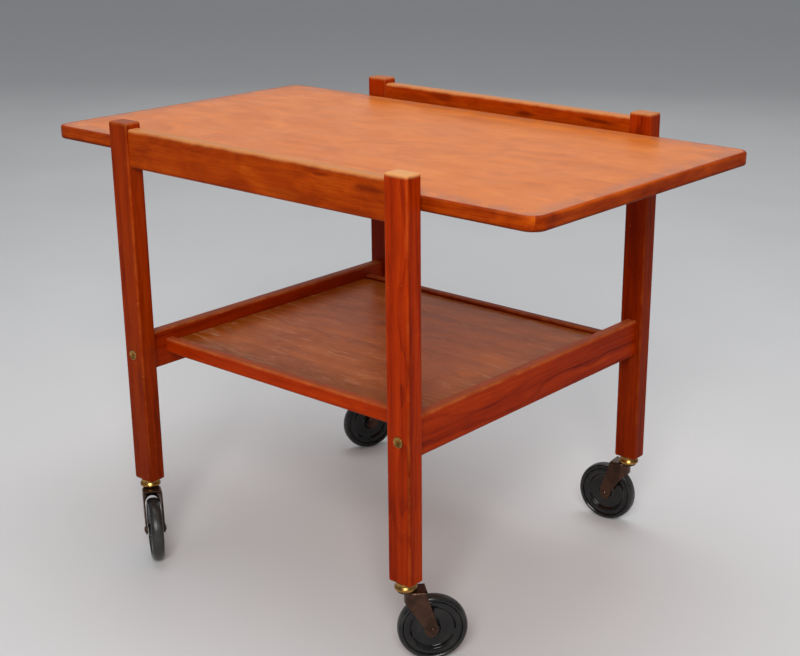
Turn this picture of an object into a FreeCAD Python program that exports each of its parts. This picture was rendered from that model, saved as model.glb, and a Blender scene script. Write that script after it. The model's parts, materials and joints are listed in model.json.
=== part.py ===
import FreeCAD, Part
import math
import os
import re

import Sketcher

# Serving trolley in teak: four legs on swivel casters, a table top that runs out past
# the legs at both ends between two side rails, and a lower shelf between two cross rails.
# The origin is on the floor under the middle of the frame.
# +X runs along the table top, +Y across it, +Z up. All lengths are in millimetres.

SIZES = [
    # name, value, meaning
    ("frame_length", 469, "outside of the legs along X"),
    ("frame_depth", 479, "outside of the legs along Y"),
    ("leg_width", 32, "leg section along X"),
    ("leg_depth", 23, "leg section along Y"),
    ("leg_bottom", 99, "height of the leg ends above the floor"),
    ("leg_height", 461, "leg length"),
    ("leg_arris", 3, "rounding along the legs"),
    ("leg_end", 2.5, "rounding of the leg ends"),
    ("rail_inset", 3, "side rail behind the outer face of the leg"),
    ("rail_thick", 18, "side rail section along Y"),
    ("rail_bottom", 507, "underside of the side rails"),
    ("rail_height", 46, "side rail section along Z"),
    ("rail_arris", 3.5, "rounding along the side rails"),
    ("rail_dowel_gap", 22, "spacing of the two dowels in each rail end"),
    ("top_length", 752, "table top along X"),
    ("top_depth", 427, "table top along Y"),
    ("top_bottom", 519, "underside of the table top"),
    ("top_thick", 16, "table top thickness"),
    ("top_corner", 18, "plan radius of the table top corners"),
    ("lipping", 4, "solid edge lipping of the table top"),
    ("lipping_arris", 2.5, "rounding of the lipping"),
    ("cleat_width", 20, "bearer under the table top along Y"),
    ("cleat_height", 11, "bearer under the table top along Z"),
    ("cleat_length", 396, "bearer under the table top along X"),
    ("cross_inset", 7.5, "cross rail behind the end face of the leg"),
    ("cross_thick", 15, "cross rail section along X"),
    ("cross_bottom", 245.5, "underside of the cross rails"),
    ("cross_height", 48, "cross rail section along Z"),
    ("cross_arris", 3, "rounding along the cross rails"),
    ("lip_inset", 47.5, "shelf lip behind the outer face of the leg"),
    ("lip_thick", 12, "shelf lip section along Y"),
    ("lip_bottom", 261.5, "underside of the shelf lips"),
    ("lip_height", 19, "shelf lip section along Z"),
    ("lip_arris", 2.5, "rounding along the shelf lips"),
    ("shelf_top", 275.5, "upper face of the lower shelf"),
    ("shelf_thick", 9, "lower shelf thickness"),
    ("groove", 5, "depth of the shelf grooves in the cross rails"),
    ("lip_groove", 3.5, "depth of the shelf grooves in the lips"),
    ("bolt_level", 269.5, "height of the cross rail bolts"),
    ("bolt_head", 6.5, "bolt head radius"),
    ("bolt_proud", 1.2, "bolt head outside the leg face"),
    ("bolt_sink", 1.5, "bolt head inside the leg face"),
    ("bolt_rim", 1.2, "rim of the bolt head round its dish"),
    ("dish_depth", 1.1, "depth of the dish in the bolt head"),
    ("dish_slope", 2.2, "width of the sloping side of the dish"),
    ("key_radius", 2.3, "corner radius of the hexagonal socket in the bolt head"),
    ("key_depth", 2.2, "depth of the hexagonal socket from the rim"),
    ("bolt_shank", 3, "bolt shank radius"),
    ("bolt_reach", 47, "length of the bolt from the leg face"),
    ("nut_from_end", 20, "barrel nut axis from the end of the cross rail"),
    ("nut_radius", 5, "barrel nut radius"),
    ("nut_length", 13, "barrel nut length"),
    ("dowel_radius", 4, "frame dowel radius"),
    ("dowel_half", 15, "half the length of a frame dowel"),
    ("pin_radius", 2.5, "shelf lip dowel radius"),
    ("pin_half", 9, "half the length of a shelf lip dowel"),
    ("screw_radius", 1.5, "shank radius of the bearer screws"),
    ("screw_hole", 1.6, "pilot hole radius of the bearer screws"),
    ("screw_bite", 9, "length of a screw in the wood it holds"),
    ("screw_head", 3, "head radius of the bearer screws"),
    ("screw_cone", 1.6, "height of a screw head"),
    ("screw_inset", 15, "upright screws from the inner face of the side rail"),
    ("up_spacing", 158.4, "spacing of the upright screws along a bearer"),
    ("side_spacing", 118.8, "sideways screws from the middle of a bearer"),
    ("fit_gap", 0.1, "clearance round dowels, bolts and grooves"),
    ("socket_radius", 5.5, "outside radius of the caster socket"),
    ("socket_length", 40, "caster socket above the leg end"),
    ("stem_radius", 4, "caster stem radius"),
    ("stem_length", 34, "caster stem above the leg end"),
    ("running_gap", 0.05, "radial clearance of turning fits"),
    ("cup_radius", 13, "largest radius of the bearing cup"),
    ("cup_neck", 10.8, "radius of the bearing cup under the leg"),
    ("cup_roof", 2, "thickness of the bearing cup under the leg"),
    ("cup_depth", 9.3, "height of the bearing cup"),
    ("cup_mouth", 12, "radius at the lower edge of the bearing cup"),
    ("cup_shell", 1.5, "wall of the bearing cup"),
    ("ball_radius", 1.95, "bearing ball radius"),
    ("ball_ring", 7, "radius of the ring of balls"),
    ("ball_count", 10, "bearing balls in each caster"),
    ("race_height", 4.2, "lower race above the fork"),
    ("fork_top", 88.8, "upper face of the fork above the floor"),
    ("fork_sheet", 2, "fork sheet thickness"),
    ("fork_half", 12.2, "half width of the fork"),
    ("fork_rear", 21.8, "rear end of the fork roof behind the swivel axis"),
    ("fork_nose", 2.2, "fork nose in front of the swivel axis"),
    ("fork_bend", 2.6, "outside radius of the bend between fork roof and arms"),
    ("crown_radius", 10.2, "radius of the round seat pressed into the fork roof"),
    ("crown_drop", 3.4, "height of the round seat"),
    ("trail", 29.7, "wheel axle behind the swivel axis"),
    ("wheel_radius", 40, "wheel radius"),
    ("tyre_width", 16, "tyre width"),
    ("tyre_inner", 31.5, "seat radius of the tyre"),
    ("disc_lip", 33.5, "outer radius of the bead of the wheel disc"),
    ("disc_step", 25, "radius where the wheel disc is dished"),
    ("hub_radius", 8, "radius of the wheel hub"),
    ("hub_half", 9.9, "half the width of the wheel hub"),
    ("bush_radius", 4.5, "outside radius of the wheel bush"),
    ("axle_radius", 3, "axle radius"),
    ("axle_head", 4.2, "radius of the riveted axle ends"),
    ("swing_left_near", 325.8, "direction of trail in degrees, left near caster"),
    ("swing_right_near", 46.1, "direction of trail in degrees, right near caster"),
    ("swing_right_far", 186.8, "direction of trail in degrees, right far caster"),
    ("swing_left_far", 246.2, "direction of trail in degrees, left far caster"),
]

NAMES = {name for name, _, _ in SIZES}
AXES = {"x": "YZ_Plane", "y": "XZ_Plane", "z": "XY_Plane"}

doc = FreeCAD.newDocument("serving_trolley")
parts = []


def fill_sheet():
    """Write the driving dimensions into the spreadsheet as named cells."""
    sheet = doc.addObject("Spreadsheet::Sheet", "Sizes")
    for row, (name, number, meaning) in enumerate(SIZES, start=1):
        sheet.set(f"A{row}", meaning)
        sheet.set(f"B{row}", str(number))
        sheet.setAlias(f"B{row}", name)
    doc.recompute()
    return sheet


SHEET = fill_sheet()


def size(name):
    return float(SHEET.get(name))


def formula(text):
    """Turn a plain formula in dimension names into one that reads the spreadsheet."""
    return re.sub(r"[a-z][a-z_]+", lambda m: f"Sizes.{m[0]}" if m[0] in NAMES else m[0], str(text))


def bind(item, prop, text):
    item.setExpression(prop, formula(text))


def new_body(label):
    body = doc.addObject("PartDesign::Body", label)
    body.Label = label
    parts.append(body)
    return body


def place(item, x=0, y=0, z=0, angle=None):
    """Bind the position of a sub-part, and its turn about the vertical."""
    item.Placement = FreeCAD.Placement(FreeCAD.Vector(), FreeCAD.Rotation(FreeCAD.Vector(0, 0, 1), 1))
    bind(item, "Placement.Base.x", f"({x}) * 1 mm")
    bind(item, "Placement.Base.y", f"({y}) * 1 mm")
    bind(item, "Placement.Base.z", f"({z}) * 1 mm")
    bind(item, "Placement.Rotation.Angle", f"({angle or 0}) * 1 deg")


def new_sketch(body, axis, shift=(0, 0, 0)):
    """Sketch on an origin plane of the body, moved in its own plane and along its normal."""
    sketch = body.newObject("Sketcher::SketchObject", body.Name + "_sketch")
    plane = next(f for f in body.Origin.OriginFeatures if f.Role == AXES[axis])
    sketch.AttachmentSupport = [(plane, "")]
    sketch.MapMode = "FlatFace"
    for letter, text in zip("xyz", shift):
        bind(sketch, f"AttachmentOffset.Base.{letter}", f"({text}) * 1 mm")
    return sketch


def outline(body, axis, points, shift=(0, 0, 0)):
    """Closed polygon whose corners are held by formulas measured from the sketch origin."""
    sketch = new_sketch(body, axis, shift)
    count = len(points)
    start = [FreeCAD.Vector(10 * math.cos(6.283 * i / count), 10 * math.sin(6.283 * i / count), 0)
             for i in range(count)]
    for i in range(count):
        sketch.addGeometry(Part.LineSegment(start[i], start[(i + 1) % count]), False)
    for i in range(count):
        sketch.addConstraint(Sketcher.Constraint("Coincident", i, 2, (i + 1) % count, 1))
    for i, (across, along) in enumerate(points):
        for kind, text, number in (("DistanceX", across, start[i].x), ("DistanceY", along, start[i].y)):
            held = sketch.addConstraint(Sketcher.Constraint(kind, -1, 1, i, 1, number))
            bind(sketch, f"Constraints[{held}]", f"({text}) * 1 mm")
    return sketch


def rectangle(body, axis, width, height, shift=(0, 0, 0)):
    w, h = f"({width}) / 2", f"({height}) / 2"
    corners = [(f"-{w}", f"-{h}"), (w, f"-{h}"), (w, h), (f"-{w}", h)]
    return outline(body, axis, corners, shift)


def circles(body, axis, centres, radius, shift=(0, 0, 0)):
    sketch = new_sketch(body, axis, shift)
    for i, (across, along) in enumerate(centres):
        middle = FreeCAD.Vector(20 * i + 1, 1, 0)
        sketch.addGeometry(Part.Circle(middle, FreeCAD.Vector(0, 0, 1), 2), False)
        for kind, text in (("DistanceX", across), ("DistanceY", along)):
            held = sketch.addConstraint(Sketcher.Constraint(kind, -1, 1, i, 3, 1.0))
            bind(sketch, f"Constraints[{held}]", f"({text}) * 1 mm")
        held = sketch.addConstraint(Sketcher.Constraint("Radius", i, 2.0))
        bind(sketch, f"Constraints[{held}]", f"({radius}) * 1 mm")
    return sketch


def pad(body, sketch, length):
    """Pad the sketch equally to both sides of its plane."""
    feature = body.newObject("PartDesign::Pad", body.Name + "_pad")
    feature.Profile = sketch
    feature.Midplane = True
    bind(feature, "Length", f"({length}) * 1 mm")
    body.Tip = feature
    doc.recompute()


def pocket(body, sketch, depth, sense=1):
    """Cut the sketch to a depth; sense 0 cuts both ways, -1 cuts along the sketch normal."""
    feature = body.newObject("PartDesign::Pocket", body.Name + "_pocket")
    feature.Profile = sketch
    before = body.Shape.Volume
    feature.Midplane = sense == 0
    feature.Reversed = sense < 0
    bind(feature, "Length", f"({depth}) * 1 mm")
    body.Tip = feature
    doc.recompute()
    if body.Shape.Volume > before - 1:
        raise ValueError(f"{body.Label}: a pocket takes nothing away")


def revolve(body, sketch, additive=True):
    kind = "Revolution" if additive else "Groove"
    feature = body.newObject("PartDesign::" + kind, body.Name + "_turned")
    feature.Profile = sketch
    feature.ReferenceAxis = (sketch, ["V_Axis"])
    feature.Angle = 360
    body.Tip = feature
    doc.recompute()


def fillet(body, radius, chosen):
    """Round every edge of the body for which chosen(edge) is true."""
    names = [f"Edge{i}" for i, edge in enumerate(body.Shape.Edges, start=1) if chosen(edge)]
    if not names:
        raise ValueError(f"{body.Label}: no edge to round")
    base = body.Tip
    feature = body.newObject("PartDesign::Fillet", body.Name + "_round")
    feature.Base = (base, names)
    bind(feature, "Radius", f"({radius}) * 1 mm")
    body.Tip = feature
    doc.recompute()


def along(axis):
    """Edge test: straight and parallel to one axis."""
    def test(edge):
        if not isinstance(edge.Curve, Part.Line):
            return False
        return abs(getattr(edge.Curve.Direction, axis)) > 0.99
    return test


def level(axis, value):
    """Edge test: lying wholly at one value of a coordinate."""
    def test(edge):
        points = [getattr(v.Point, axis) for v in edge.Vertexes]
        return all(abs(p - value) < 0.01 for p in points)
    return test


def add_solids(label, solids):
    """Several separate solids kept together as one sub-part."""
    group = doc.addObject("Part::Compound", label)
    group.Links = solids
    group.Label = label
    parts.append(group)
    doc.recompute()
    return group


def rod(axis, radius, length, x, y, z):
    """Cylinder that starts at a point and runs along an axis."""
    turn = {"x": (FreeCAD.Vector(0, 1, 0), 90), "y": (FreeCAD.Vector(1, 0, 0), -90),
            "z": (FreeCAD.Vector(0, 0, 1), 0)}[axis]
    item = doc.addObject("Part::Cylinder", "rod")
    item.Placement = FreeCAD.Placement(FreeCAD.Vector(), FreeCAD.Rotation(*turn))
    bind(item, "Radius", f"({radius}) * 1 mm")
    bind(item, "Height", f"({length}) * 1 mm")
    for letter, text in zip("xyz", (x, y, z)):
        bind(item, f"Placement.Base.{letter}", f"({text}) * 1 mm")
    return item


# ---------------------------------------------------------------- frame

LEG_X = "(frame_length - leg_width) / 2"
LEG_Y = "(frame_depth - leg_depth) / 2"
CROSS_X = "frame_length / 2 - cross_inset - cross_thick / 2"
RAIL_Y = "frame_depth / 2 - rail_inset - rail_thick / 2"
LIP_Y = "frame_depth / 2 - lip_inset - lip_thick / 2"
PIN_Y = f"{LIP_Y} + 1"
PIN_Z = "lip_bottom + 6"
SCREW_Y = "frame_depth / 2 - rail_inset - rail_thick - screw_inset"
SCREW_Z = "top_bottom - cleat_height / 2"
RAIL_Z = "rail_bottom + rail_height / 2"
CROSS_END = "frame_depth / 2 - leg_depth"
RAIL_END = "frame_length / 2 - leg_width"
DOWEL_HOLE = "dowel_radius + fit_gap"
PEG_Z = "cross_bottom + cross_height - 10"


def make_leg(label, side, far):
    """One leg. side is -1 at the left end and 1 at the right; a far leg is a near one turned round."""
    hand = -side if far else side
    sign = "-1" if side < 0 else "1"
    leg = new_body(label)
    middle = "leg_bottom + leg_height / 2"
    pad(leg, rectangle(leg, "z", "leg_width", "leg_depth", (0, 0, middle)), "leg_height")
    fillet(leg, "leg_arris", along("z"))
    ends = (size("leg_bottom"), size("leg_bottom") + size("leg_height"))
    fillet(leg, "leg_end", lambda edge: any(level("z", z)(edge) for z in ends))
    bore = circles(leg, "z", [(0, 0)], "socket_radius", (0, 0, "leg_bottom"))
    pocket(leg, bore, "socket_length", -1)
    # the bolt passes from the outer face towards the cross rail, in a shallow seat
    bolt_x = f"{hand} * (leg_width / 2 - cross_inset - cross_thick / 2)"
    passage = circles(leg, "y", [(bolt_x, "bolt_level")], "bolt_shank + fit_gap")
    pocket(leg, passage, "leg_depth + 2", 0)
    seat = circles(leg, "y", [(bolt_x, "bolt_level")], "bolt_head + fit_gap", (0, 0, "leg_depth / 2"))
    pocket(leg, seat, "bolt_sink + fit_gap")
    peg = circles(leg, "y", [(bolt_x, PEG_Z)], DOWEL_HOLE, (0, 0, "-leg_depth / 2"))
    pocket(leg, peg, "dowel_half", -1)
    # two dowels in the side rail
    rail_y = "leg_depth / 2 - rail_inset - rail_thick / 2"
    pair = [(f"-({rail_y})", f"{RAIL_Z} + {s} * rail_dowel_gap / 2") for s in (-1, 1)]
    inner = circles(leg, "x", pair, DOWEL_HOLE, (0, 0, f"{-hand} * leg_width / 2"))
    pocket(leg, inner, "dowel_half + 0.5", 1 if hand < 0 else -1)
    place(leg, f"{sign} * {LEG_X}", LEG_Y if far else f"-({LEG_Y})", 0, 180 if far else 0)


def make_side_rail(label, far):
    rail = new_body(label)
    length = "frame_length - 2 * leg_width"
    pad(rail, rectangle(rail, "x", "rail_thick", "rail_height", (0, RAIL_Z, 0)), length)
    fillet(rail, "rail_arris", along("x"))
    pair = [(0, f"{RAIL_Z} + {s} * rail_dowel_gap / 2") for s in (-1, 1)]
    for end, sense in ((RAIL_END, 1), (f"-({RAIL_END})", -1)):
        pocket(rail, circles(rail, "x", pair, DOWEL_HOLE, (0, 0, end)), "dowel_half + 0.5", sense)
    inner = -1 if far else 1
    spots = [(f"{i} * side_spacing", SCREW_Z) for i in (-1, 1)]
    pilots = circles(rail, "y", spots, "screw_hole", (0, 0, f"{-inner} * rail_thick / 2"))
    pocket(rail, pilots, "screw_bite + 0.5", -inner)
    place(rail, 0, RAIL_Y if far else f"-({RAIL_Y})")


def make_cross_rail(label, side):
    rail = new_body(label)
    middle = "cross_bottom + cross_height / 2"
    length = f"2 * ({CROSS_END})"
    pad(rail, rectangle(rail, "y", "cross_thick", "cross_height", (0, middle, 0)), length)
    fillet(rail, "cross_arris", along("y"))
    # groove for the lower shelf, stopped short of the legs
    slot_z = "shelf_top - shelf_thick / 2"
    slot_length = f"2 * ({LIP_Y} - lip_thick / 2 + lip_groove)"
    slot = rectangle(rail, "x", slot_length, "shelf_thick + fit_gap",
                     (0, slot_z, f"{-side} * cross_thick / 2"))
    pocket(rail, slot, "groove", 1 if side < 0 else -1)
    lips = [(f"{s} * ({PIN_Y})", PIN_Z) for s in (-1, 1)]
    pins = circles(rail, "x", lips, "pin_radius + fit_gap", (0, 0, f"{-side} * cross_thick / 2"))
    pocket(rail, pins, "pin_half", 1 if side < 0 else -1)
    # bolts and pegs from the legs, and the barrel nuts set in from below
    for end, sense in ((f"-({CROSS_END})", -1), (CROSS_END, 1)):
        bolt = circles(rail, "y", [(0, "bolt_level")], "bolt_shank + fit_gap", (0, 0, f"-({end})"))
        pocket(rail, bolt, "bolt_reach - leg_depth + 1", -sense)
        peg = circles(rail, "y", [(0, PEG_Z)], DOWEL_HOLE, (0, 0, f"-({end})"))
        pocket(rail, peg, "dowel_half + 0.5", -sense)
    nuts = [(0, f"{s} * ({CROSS_END} - nut_from_end)") for s in (-1, 1)]
    well = circles(rail, "z", nuts, "nut_radius + fit_gap", (0, 0, "bolt_level + nut_length / 2 + 0.5"))
    pocket(rail, well, "60")
    place(rail, f"{side} * ({CROSS_X})", 0)


def make_shelf():
    """Lower shelf panel, tongued into the cross rails and the lips."""
    panel = new_body("lower_shelf_panel")
    reach_x = f"2 * ({CROSS_X} - cross_thick / 2 + groove - 0.5)"
    reach_y = f"2 * ({LIP_Y} - lip_thick / 2 + lip_groove - 0.5)"
    middle = "shelf_top - shelf_thick / 2"
    pad(panel, rectangle(panel, "z", reach_x, reach_y, (0, 0, middle)), "shelf_thick")
    place(panel)
    for label, far in (("shelf_lip_near", False), ("shelf_lip_far", True)):
        lip = new_body(label)
        middle_z = "lip_bottom + lip_height / 2"
        length = f"2 * ({CROSS_X} - cross_thick / 2)"
        pad(lip, rectangle(lip, "x", "lip_thick", "lip_height", (0, middle_z, 0)), length)
        fillet(lip, "lip_arris", along("x"))
        inner = -1 if far else 1
        slot = rectangle(lip, "y", f"{length} + 2", "shelf_thick + fit_gap",
                         (0, middle, f"{-inner} * lip_thick / 2"))
        pocket(lip, slot, "lip_groove", -inner)
        for sense in (1, -1):
            hole = circles(lip, "x", [(-inner, PIN_Z)], "pin_radius + fit_gap",
                           (0, 0, f"{sense} * ({CROSS_X} - cross_thick / 2)"))
            pocket(lip, hole, "pin_half + 2", sense)
        place(lip, 0, LIP_Y if far else f"-({LIP_Y})")


def rounded_board(label, length, depth, corner, middle):
    """Board as thick as the table top with rounded plan corners."""
    board = doc.addObject("PartDesign::Body", label)
    board.Label = label
    pad(board, rectangle(board, "z", length, depth, (0, 0, middle)), "top_thick")
    fillet(board, corner, along("z"))
    return board


def make_top():
    """Veneered table top and the solid lipping round its edge."""
    middle = "top_bottom + top_thick / 2"
    inner_length = "top_length - 2 * lipping"
    inner_depth = "top_depth - 2 * lipping"
    core = rounded_board("table_top", inner_length, inner_depth, "top_corner - lipping", middle)
    parts.append(core)
    for level_x in (-1, 0, 1):
        spots = [(f"{level_x} * up_spacing", f"{s} * ({SCREW_Y})") for s in (-1, 1)]
        pocket(core, circles(core, "z", spots, "screw_hole", (0, 0, "top_bottom")), "screw_bite + 0.5", -1)
    place(core)
    ring = rounded_board("lipping_outside", "top_length", "top_depth", "top_corner", middle)
    ends = (size("top_bottom"), size("top_bottom") + size("top_thick"))
    fillet(ring, "lipping_arris", lambda edge: any(level("z", z)(edge) for z in ends))
    lipping = doc.addObject("Part::Cut", "table_top_lipping")
    lipping.Base = ring
    lipping.Tool = rounded_board("lipping_inside", inner_length, inner_depth, "top_corner - lipping", middle)
    lipping.Label = "table_top_lipping"
    parts.append(lipping)
    place(lipping)


def make_cleat(label, far):
    """Bearer that carries the table top along the inside of a side rail."""
    cleat = new_body(label)
    shape = rectangle(cleat, "x", "cleat_width", "cleat_height", (0, SCREW_Z, 0))
    pad(cleat, shape, "cleat_length")
    across = [(f"{i} * side_spacing", SCREW_Z) for i in (-1, 1)]
    inward = -1 if far else 1
    up = [(f"{i} * up_spacing", f"{inward} * (screw_inset - cleat_width / 2)") for i in (-1, 0, 1)]
    pocket(cleat, circles(cleat, "z", up, "screw_hole", (0, 0, SCREW_Z)), "cleat_height + 2", 0)
    pocket(cleat, circles(cleat, "y", across, "screw_hole"), "cleat_width + 2", 0)
    y = f"{RAIL_Y} - rail_thick / 2 - cleat_width / 2"
    place(cleat, 0, y if far else f"-({y})")


def make_fasteners():
    dowels = []
    for sx in (-1, 1):
        for sy in (-1, 1):
            for sz in (-1, 1):
                dowels.append(rod("x", "dowel_radius", "2 * dowel_half", f"{sx} * ({RAIL_END}) - dowel_half",
                                  f"{sy} * ({RAIL_Y})", f"{RAIL_Z} + {sz} * rail_dowel_gap / 2"))
            dowels.append(rod("y", "dowel_radius", "2 * dowel_half - 0.5", f"{sx} * ({CROSS_X})",
                              f"{sy} * ({CROSS_END}) - dowel_half + 0.25", PEG_Z))
    add_solids("frame_dowels", dowels)
    joint_x = f"({CROSS_X} - cross_thick / 2)"
    pins = [rod("x", "pin_radius", "2 * pin_half", f"{sx} * {joint_x} - pin_half", f"{sy} * ({PIN_Y})", PIN_Z)
            for sx in (-1, 1) for sy in (-1, 1)]
    add_solids("shelf_lip_dowels", pins)


def make_bolt(sx, sy):
    """Bolt with a round dished head and a hexagonal socket; its shank runs to the barrel nut."""
    face = "frame_depth / 2"
    x, z = f"{sx} * ({CROSS_X})", "bolt_level"
    shank_from = f"-({face} - 1)" if sy < 0 else f"{face} - bolt_reach"
    head_from = f"-({face} + bolt_proud)" if sy < 0 else f"{face} - bolt_sink"
    shank = rod("y", "bolt_shank", "bolt_reach - 1", x, shank_from, z)
    head = rod("y", "bolt_head", "bolt_proud + bolt_sink", x, head_from, z)
    whole = doc.addObject("Part::Fuse", "bolt_blank")
    whole.Base, whole.Tool = head, shank
    dish = doc.addObject("Part::Cone", "bolt_dish")
    dish.Placement = FreeCAD.Placement(FreeCAD.Vector(), FreeCAD.Rotation(FreeCAD.Vector(1, 0, 0), -90 * -sy))
    bind(dish, "Radius1", "(bolt_head - bolt_rim) * 1 mm")
    bind(dish, "Radius2", "(bolt_head - bolt_rim - dish_slope) * 1 mm")
    bind(dish, "Height", "dish_depth * 1 mm")
    socket = doc.addObject("Part::Prism", "bolt_socket")
    socket.Polygon = 6
    bind(socket, "Circumradius", "key_radius * 1 mm")
    bind(socket, "Height", "key_depth * 1 mm")
    socket.Placement = dish.Placement
    for item in (dish, socket):
        for letter, text in zip("xyz", (x, f"{sy} * ({face} + bolt_proud)", z)):
            bind(item, f"Placement.Base.{letter}", f"({text}) * 1 mm")
    hollow = doc.addObject("Part::Fuse", "bolt_hollow")
    hollow.Base, hollow.Tool = dish, socket
    bolt = doc.addObject("Part::Cut", "bolt")
    bolt.Base, bolt.Tool = whole, hollow
    return bolt


def make_bolts_and_nuts():
    corners = [(sx, sy) for sx in (-1, 1) for sy in (-1, 1)]
    add_solids("cross_rail_bolts", [make_bolt(sx, sy) for sx, sy in corners])
    nuts = []
    for sx, sy in corners:
        x, y = f"{sx} * ({CROSS_X})", f"{sy} * ({CROSS_END} - nut_from_end)"
        blank = rod("z", "nut_radius", "nut_length", x, y, "bolt_level - nut_length / 2")
        bore = rod("y", "bolt_shank + fit_gap", "20", x, f"{y} - 10", "bolt_level")
        nut = doc.addObject("Part::Cut", "nut")
        nut.Base, nut.Tool = blank, bore
        nuts.append(nut)
    add_solids("barrel_nuts", nuts)


def make_screw(axis, sense, x, y, z, length):
    """Countersunk wood screw: a cone under a flat head and a plain shank."""
    shank = rod(axis, "screw_radius", length, x, y, z)
    turn = FreeCAD.Rotation(FreeCAD.Vector(1, 0, 0), -90) if axis == "y" else FreeCAD.Rotation()
    head = doc.addObject("Part::Cone", "screw_head")
    head.Placement = FreeCAD.Placement(FreeCAD.Vector(), turn)
    wide, narrow = ("Radius1", "Radius2") if sense > 0 else ("Radius2", "Radius1")
    bind(head, wide, "screw_head * 1 mm")
    bind(head, narrow, "screw_radius * 1 mm")
    bind(head, "Height", "screw_cone * 1 mm")
    offset = f"({y}) - screw_cone" if sense > 0 else f"({y}) + ({length})"
    z_head = z
    if axis == "z":
        offset, z_head = y, f"({z}) - screw_cone"
    for letter, text in zip("xyz", (x, offset, z_head)):
        bind(head, f"Placement.Base.{letter}", f"({text}) * 1 mm")
    screw = doc.addObject("Part::Fuse", "screw")
    screw.Base, screw.Tool = shank, head
    return screw


def make_screws():
    """Screws through the bearers: upwards into the table top and sideways into the side rails."""
    inner = f"({RAIL_Y} - rail_thick / 2)"
    up, side = [], []
    for sy in (-1, 1):
        for i in (-1, 0, 1):
            up.append(make_screw("z", 1, f"{i} * up_spacing", f"{sy} * ({SCREW_Y})",
                                 "top_bottom - cleat_height", "cleat_height + screw_bite"))
    add_solids("top_screws", up)
    for i in (-1, 1):
        x, z = f"{i} * side_spacing", SCREW_Z
        side.append(make_screw("y", 1, x, f"{inner} - cleat_width", z, "cleat_width + screw_bite"))
        side.append(make_screw("y", -1, x, f"-({inner} + screw_bite)", z, "cleat_width + screw_bite"))
    add_solids("bearer_screws", side)


# ---------------------------------------------------------------- casters


def turned(label, points, plane="y", shift=(0, 0, 0)):
    """Round part: an outline given as (radius, height) pairs, turned about the sketch's upright axis."""
    item = new_body(label)
    revolve(item, outline(item, plane, points, shift))
    return item


def make_mount_parts(tag):
    """Socket in the leg and the bearing cup below it; both stay with the leg."""
    inner = "stem_radius + running_gap"
    socket = turned(f"caster_socket_{tag}", [
        (inner, "leg_bottom + 0.1"),
        ("socket_radius - 0.05", "leg_bottom + 0.1"),
        ("socket_radius - 0.05", "leg_bottom + socket_length - 0.5"),
        ("stem_radius - 1", "leg_bottom + socket_length - 0.5"),
        ("stem_radius - 1", "leg_bottom + socket_length - 2"),
        (inner, "leg_bottom + socket_length - 2")])
    low = "leg_bottom - cup_depth"
    roof = "leg_bottom - cup_roof"
    cup = turned(f"bearing_cup_{tag}", [
        (inner, "leg_bottom"),
        ("cup_neck", "leg_bottom"),
        ("cup_neck", f"{roof} + 0.4"),
        ("cup_neck + 0.5", f"{roof} - 1.6"),
        ("cup_radius - 0.7", f"{roof} - 3.6"),
        ("cup_radius", f"{low} + 2.8"),
        ("cup_radius", f"{low} + 1.5"),
        ("cup_radius - 0.4", f"{low} + 0.5"),
        ("cup_mouth", low),
        ("cup_mouth - cup_shell", low),
        ("cup_mouth - cup_shell", f"{low} + 3"),
        ("cup_neck - cup_shell", roof),
        (inner, roof)])
    return [socket, cup]


def make_swivel_parts(tag):
    """Stem with its ball race, balls, fork and axle, which turn together about the stem."""
    seat = "fork_top - crown_drop"
    race = "cup_mouth - cup_shell - 0.8"
    stem = turned(f"caster_stem_{tag}", [
        (0, f"{seat} + 0.1"),
        ("stem_radius - 0.1", f"{seat} + 0.1"),
        ("stem_radius - 0.1", "fork_top + 0.02"),
        (race, "fork_top + 0.02"),
        (race, "fork_top + race_height - 1.4"),
        (f"{race} - 1", "fork_top + race_height"),
        ("stem_radius", "fork_top + race_height"),
        ("stem_radius", "leg_bottom + stem_length - 1"),
        ("stem_radius - 1", "leg_bottom + stem_length"),
        (0, "leg_bottom + stem_length")])
    return [stem, make_balls(tag), make_fork(tag), make_axle(tag)]


def make_balls(tag):
    balls = []
    count = int(size("ball_count"))
    for i in range(count):
        turn = f"{i} * 360 deg / ball_count"
        ball = doc.addObject("Part::Sphere", "ball")
        bind(ball, "Radius", "ball_radius * 1 mm")
        bind(ball, "Placement.Base.x", f"ball_ring * cos({turn}) * 1 mm")
        bind(ball, "Placement.Base.y", f"ball_ring * sin({turn}) * 1 mm")
        bind(ball, "Placement.Base.z", "(fork_top + race_height + ball_radius + 0.02) * 1 mm")
        balls.append(ball)
    return add_solids(f"bearing_balls_{tag}", balls)


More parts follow.
